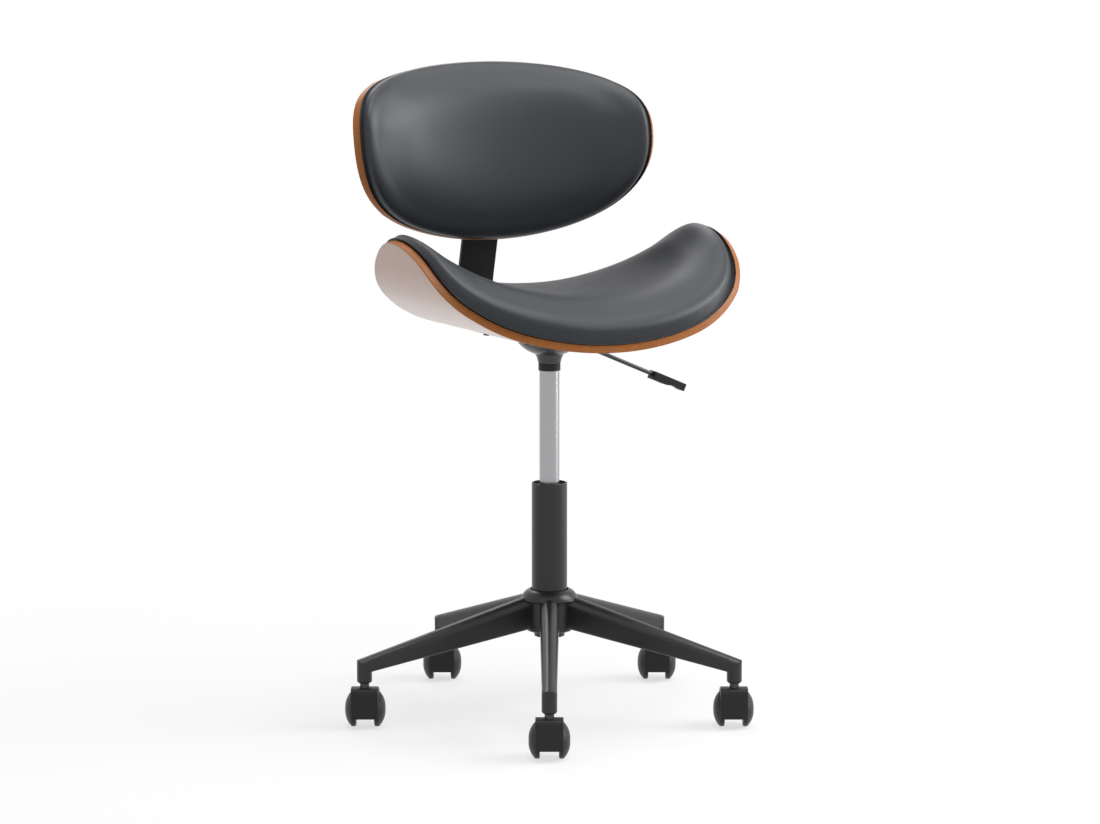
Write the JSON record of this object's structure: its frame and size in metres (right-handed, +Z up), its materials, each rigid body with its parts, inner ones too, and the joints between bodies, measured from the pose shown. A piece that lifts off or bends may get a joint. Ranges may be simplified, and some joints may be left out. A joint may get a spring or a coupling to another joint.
{
  "type": "office chair",
  "caption": "Bentwood office chair with black padded seat and back on a gas-lift column and a five-leg caster base.",
  "frame": {"origin": "column axis on the floor", "axes": "+Z up the column, -Y the way the seat faces, +X to the side of the lift lever"},
  "size_m": [0.5636, 0.5818, 0.9134],
  "materials": {
    "black_paint": "satin",
    "dark_steel": "gloss",
    "black_plastic": "matte",
    "wheel_nylon": "satin",
    "silver_cylinder": "satin",
    "zinc_steel": "satin",
    "lever_steel": "satin",
    "bent_ply": "satin",
    "black_leather": "satin"
  },
  "bodies": {
    "base": {"base_hub": "black_paint", "base_leg_1": "black_paint", "base_leg_2": "black_paint", "base_leg_3": "black_paint", "base_leg_4": "black_paint", "base_leg_5": "black_paint", "leg_socket_1": "black_paint", "leg_socket_2": "black_paint", "leg_socket_3": "black_paint", "leg_socket_4": "black_paint", "leg_socket_5": "black_paint", "column_tube": "black_paint", "guide_bush": "black_plastic", "thrust_bearing": "zinc_steel"},
    "rod": {"piston_rod": "zinc_steel", "retaining_clip": "zinc_steel"},
    "seat": {"gas_cylinder": "silver_cylinder", "cylinder_gland": "zinc_steel", "collar_ring": "black_plastic", "socket_dish": "dark_steel", "seat_plate": "dark_steel", "plate_bolts": "dark_steel", "lever_pin": "zinc_steel", "tee_nuts": "zinc_steel", "seat_shell": "bent_ply", "seat_pad": "black_leather", "back_bracket": "black_paint", "bracket_bolts": "dark_steel", "back_bolts": "dark_steel", "back_shell": "bent_ply", "back_pad": "black_leather"},
    "lever": {"lever_rod": "lever_steel", "lever_handle": "black_plastic"},
    "valve": {"valve_pin": "zinc_steel"},
    "caster_1": {"caster_stem_1": "dark_steel", "caster_hood_1": "black_plastic", "caster_axle_1": "zinc_steel"},
    "wheel_left_1": {"caster_wheel_left_1": "wheel_nylon"},
    "wheel_right_1": {"caster_wheel_right_1": "wheel_nylon"},
    "caster_2": {"caster_stem_2": "dark_steel", "caster_hood_2": "black_plastic", "caster_axle_2": "zinc_steel"},
    "wheel_left_2": {"caster_wheel_left_2": "wheel_nylon"},
    "wheel_right_2": {"caster_wheel_right_2": "wheel_nylon"},
    "caster_3": {"caster_stem_3": "dark_steel", "caster_hood_3": "black_plastic", "caster_axle_3": "zinc_steel"},
    "wheel_left_3": {"caster_wheel_left_3": "wheel_nylon"},
    "wheel_right_3": {"caster_wheel_right_3": "wheel_nylon"},
    "caster_4": {"caster_stem_4": "dark_steel", "caster_hood_4": "black_plastic", "caster_axle_4": "zinc_steel"},
    "wheel_left_4": {"caster_wheel_left_4": "wheel_nylon"},
    "wheel_right_4": {"caster_wheel_right_4": "wheel_nylon"},
    "caster_5": {"caster_stem_5": "dark_steel", "caster_hood_5": "black_plastic", "caster_axle_5": "zinc_steel"},
    "wheel_left_5": {"caster_wheel_left_5": "wheel_nylon"},
    "wheel_right_5": {"caster_wheel_right_5": "wheel_nylon"}
  },
  "joints": [
    {"name": "seat_swivel", "type": "hinge", "parent": "base", "child": "rod", "pos_m": [0, 0, 0.3], "axis": [0, 0, 1], "continuous": true},
    {"name": "gas_lift", "type": "slide", "parent": "rod", "child": "seat", "axis": [0, 0, 1], "range_m": [-0.12, 0]},
    {"name": "lever_pull", "type": "hinge", "parent": "seat", "child": "lever", "pos_m": [0.0385, 0, 0.53265], "axis": [0, -1, 0], "range_deg": [0, 8]},
    {"name": "valve_press", "type": "slide", "parent": "seat", "child": "valve", "axis": [0, 0, 1], "range_m": [-0.0062, 0]},
    {"name": "caster_swivel_1", "type": "hinge", "parent": "base", "child": "caster_1", "pos_m": [-0.11023, -0.24757, 0.07], "axis": [0, 0, 1], "continuous": true},
    {"name": "wheel_left_spin_1", "type": "hinge", "parent": "caster_1", "child": "wheel_left_1", "pos_m": [-0.10331, -0.23204, 0.025], "axis": [0.9135, -0.4067, 0], "continuous": true},
    {"name": "wheel_right_spin_1", "type": "hinge", "parent": "caster_1", "child": "wheel_right_1", "pos_m": [-0.10331, -0.23204, 0.025], "axis": [0.9135, -0.4067, 0], "continuous": true},
    {"name": "caster_swivel_2", "type": "hinge", "parent": "base", "child": "caster_2", "pos_m": [0.20139, -0.18133, 0.07], "axis": [0, 0, 1], "continuous": true},
    {"name": "wheel_left_spin_2", "type": "hinge", "parent": "caster_2", "child": "wheel_left_2", "pos_m": [0.20831, -0.1658, 0.025], "axis": [0.9135, -0.4067, 0], "continuous": true},
    {"name": "wheel_right_spin_2", "type": "hinge", "parent": "caster_2", "child": "wheel_right_2", "pos_m": [0.20831, -0.1658, 0.025], "axis": [0.9135, -0.4067, 0], "continuous": true},
    {"name": "caster_swivel_3", "type": "hinge", "parent": "base", "child": "caster_3", "pos_m": [0.23469, 0.1355, 0.07], "axis": [0, 0, 1], "continuous": true},
    {"name": "wheel_left_spin_3", "type": "hinge", "parent": "caster_3", "child": "wheel_left_3", "pos_m": [0.24161, 0.15103, 0.025], "axis": [0.9135, -0.4067, 0], "continuous": true},
    {"name": "wheel_right_spin_3", "type": "hinge", "parent": "caster_3", "child": "wheel_right_3", "pos_m": [0.24161, 0.15103, 0.025], "axis": [0.9135, -0.4067, 0], "continuous": true},
    {"name": "caster_swivel_4", "type": "hinge", "parent": "base", "child": "caster_4", "pos_m": [-0.05634, 0.26508, 0.07], "axis": [0, 0, 1], "continuous": true},
    {"name": "wheel_left_spin_4", "type": "hinge", "parent": "caster_4", "child": "wheel_left_4", "pos_m": [-0.04943, 0.28061, 0.025], "axis": [0.9135, -0.4067, 0], "continuous": true},
    {"name": "wheel_right_spin_4", "type": "hinge", "parent": "caster_4", "child": "wheel_right_4", "pos_m": [-0.04943, 0.28061, 0.025], "axis": [0.9135, -0.4067, 0], "continuous": true},
    {"name": "caster_swivel_5", "type": "hinge", "parent": "base", "child": "caster_5", "pos_m": [-0.26952, 0.02833, 0.07], "axis": [0, 0, 1], "continuous": true},
    {"name": "wheel_left_spin_5", "type": "hinge", "parent": "caster_5", "child": "wheel_left_5", "pos_m": [-0.2626, 0.04386, 0.025], "axis": [0.9135, -0.4067, 0], "continuous": true},
    {"name": "wheel_right_spin_5", "type": "hinge", "parent": "caster_5", "child": "wheel_right_5", "pos_m": [-0.2626, 0.04386, 0.025], "axis": [0.9135, -0.4067, 0], "continuous": true}
  ],
  "couplings": [
    {"joint": "valve_press", "follows": "lever_pull", "m_per_rad": -0.0435}
  ]
}
